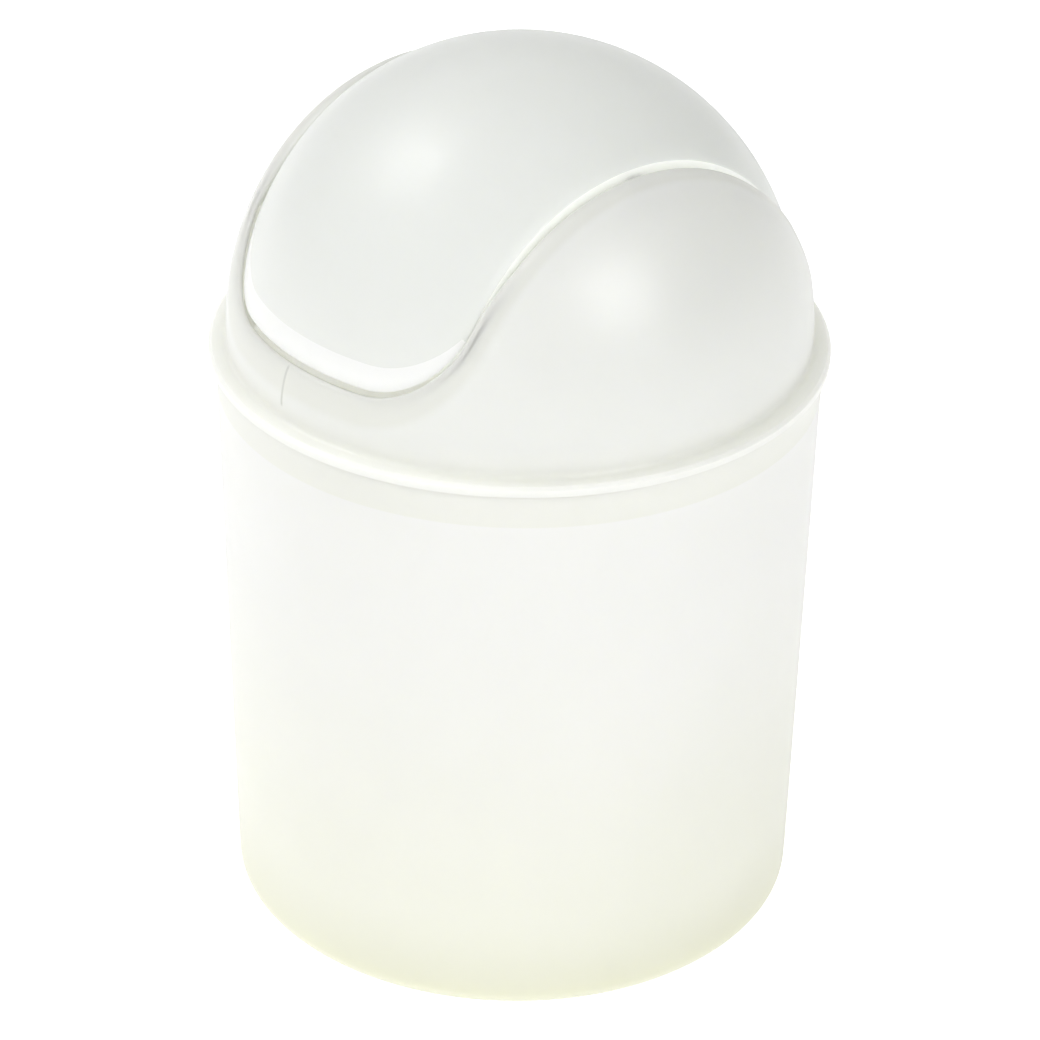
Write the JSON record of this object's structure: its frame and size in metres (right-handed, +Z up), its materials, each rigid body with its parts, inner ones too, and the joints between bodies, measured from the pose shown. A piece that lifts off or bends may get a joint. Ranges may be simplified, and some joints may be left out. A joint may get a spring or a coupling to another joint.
{
  "type": "countertop swing-lid trash can",
  "caption": "Small round countertop bin with a tapered can, a lift-off domed lid and a curved flap that swings both ways between two fixed cheeks.",
  "frame": {"origin": "centre of the base, on the surface that the can stands on", "axes": "+Z up; the flap's pivot runs along X, so its two tongues point to -Y (front) and +Y (back)"},
  "size_m": [0.14, 0.14, 0.2077],
  "materials": {
    "can": "fine satin, slightly translucent",
    "lid": "fine satin, slightly translucent",
    "flap": "fine satin, slightly translucent"
  },
  "bodies": {
    "can": {"can_body": "can"},
    "lid": {"lid_base": "lid"},
    "flap": {"swing_flap": "flap"}
  },
  "joints": [
    {"name": "lid_lift", "type": "slide", "parent": "can", "child": "lid", "axis": [0, 0, 1], "range_m": [0, 0.05]},
    {"name": "flap_swing", "type": "hinge", "parent": "lid", "child": "flap", "pos_m": [0, 0, 0.18721], "axis": [1, 0, 0], "range_deg": [-60, 60]}
  ]
}
